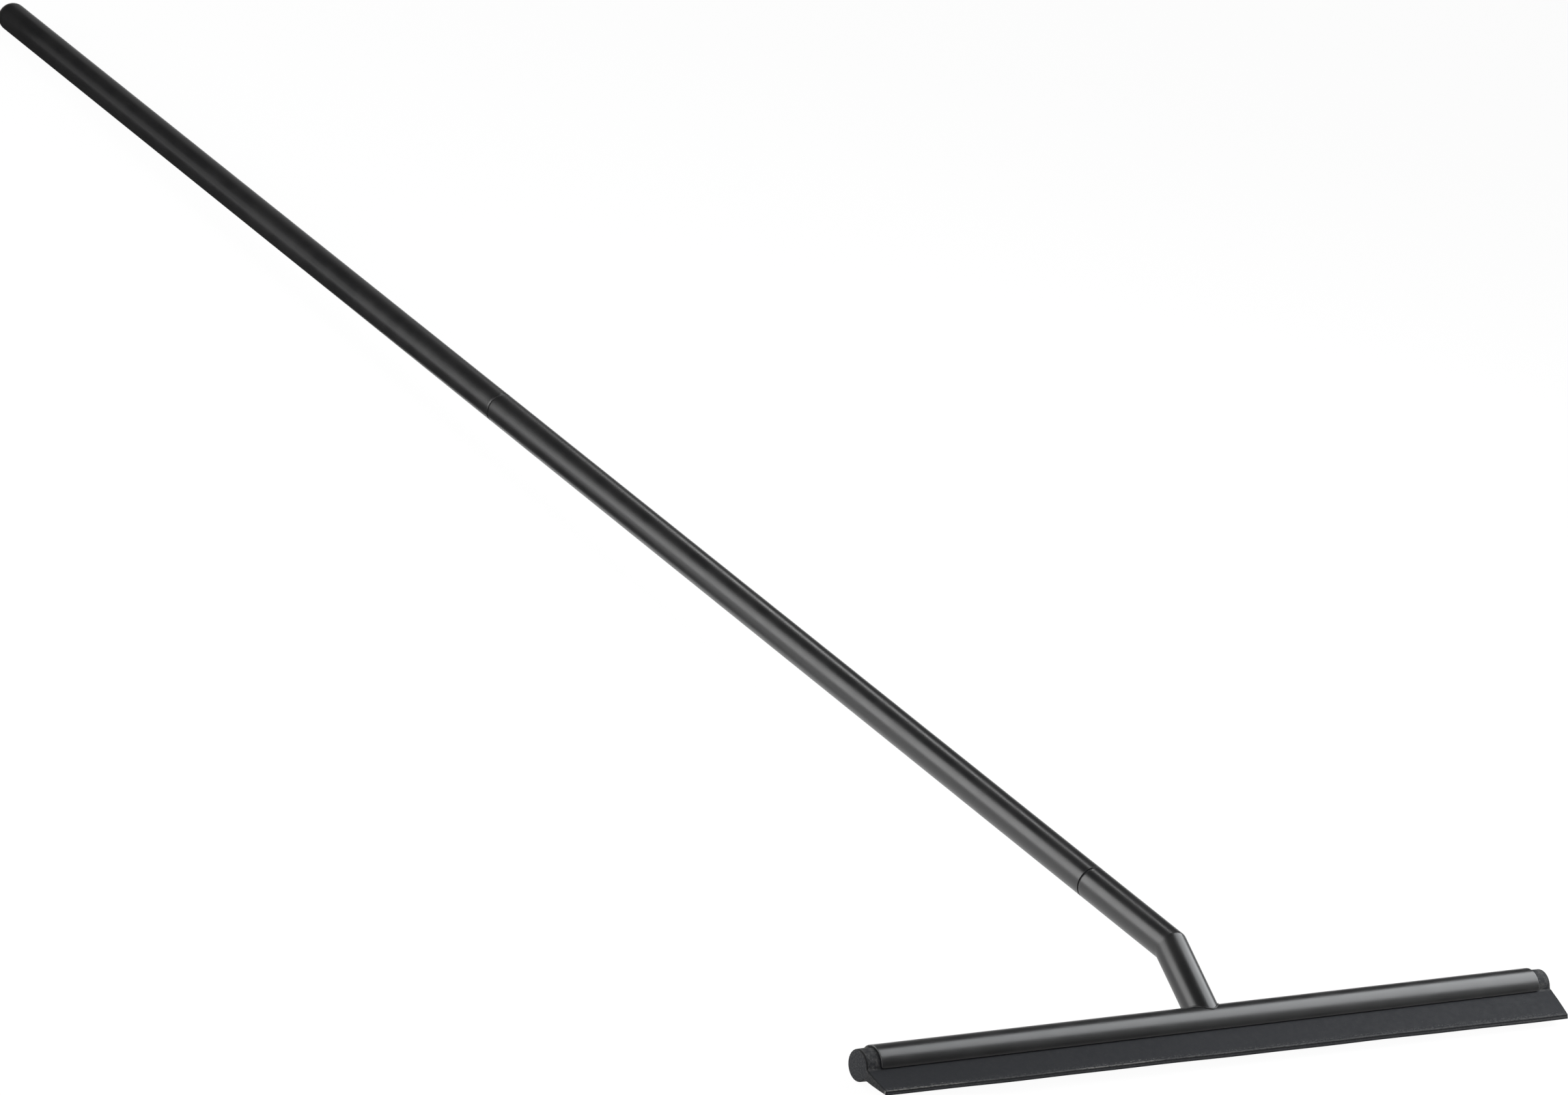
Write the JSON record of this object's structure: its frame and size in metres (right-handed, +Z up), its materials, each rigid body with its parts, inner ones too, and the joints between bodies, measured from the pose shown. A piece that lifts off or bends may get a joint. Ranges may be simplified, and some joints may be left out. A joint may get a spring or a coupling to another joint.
{
  "type": "floor squeegee",
  "caption": "Long-handled floor squeegee: a rubber blade held in a slotted round head tube, on a mitred neck and a slim tubular handle that unscrews in lengths.",
  "frame": {"origin": "on the floor, under the middle of the bounding box of the squeegee lying down", "axes": "+X along the head tube, +Y from the head towards the handle end, +Z up"},
  "size_m": [0.46, 1.4312, 0.0436],
  "materials": {
    "coated_tube": "satin black powder coat",
    "rubber": "matte dark grey rubber",
    "insert": "moulded nylon",
    "washer": "black fibre washer"
  },
  "bodies": {
    "head": {"head_tube": "coated_tube", "neck_lower_tube": "coated_tube", "neck_upper_tube": "coated_tube", "saddle_weld": "coated_tube", "mitre_weld": "coated_tube", "neck_spigot": "insert"},
    "blade": {"rubber_blade": "rubber"},
    "lower_washer": {"lower_joint_washer": "washer"},
    "lower_handle": {"lower_handle_tube": "coated_tube", "lower_handle_socket": "insert", "lower_handle_spigot": "insert"},
    "upper_washer": {"upper_joint_washer": "washer"},
    "upper_handle": {"upper_handle_tube": "coated_tube", "upper_handle_socket": "insert", "handle_end_cap": "coated_tube"}
  },
  "joints": [
    {"name": "blade_slide", "type": "slide", "parent": "head", "child": "blade", "axis": [1, 0, 0], "range_m": [-0.42, 0.42]},
    {"name": "lower_screw_travel", "type": "slide", "parent": "head", "child": "lower_washer", "axis": [0, 0.9998, -0.0183], "range_m": [0, 0.0221]},
    {"name": "lower_screw_turn", "type": "hinge", "parent": "lower_washer", "child": "lower_handle", "pos_m": [0, -0.56467, 0.0327], "axis": [0, 0.9998, -0.0183], "range_deg": [0, 1980]},
    {"name": "upper_screw_travel", "type": "slide", "parent": "lower_handle", "child": "upper_washer", "axis": [0, 0.9998, -0.0183], "range_m": [0, 0.0221]},
    {"name": "upper_screw_turn", "type": "hinge", "parent": "upper_washer", "child": "upper_handle", "pos_m": [0, 0.07572, 0.02101], "axis": [0, 0.9998, -0.0183], "range_deg": [0, 1980]}
  ],
  "couplings": [
    {"joint": "lower_screw_travel", "follows": "lower_screw_turn", "m_per_rad": 0.00063662},
    {"joint": "upper_screw_travel", "follows": "upper_screw_turn", "m_per_rad": 0.00063662}
  ]
}
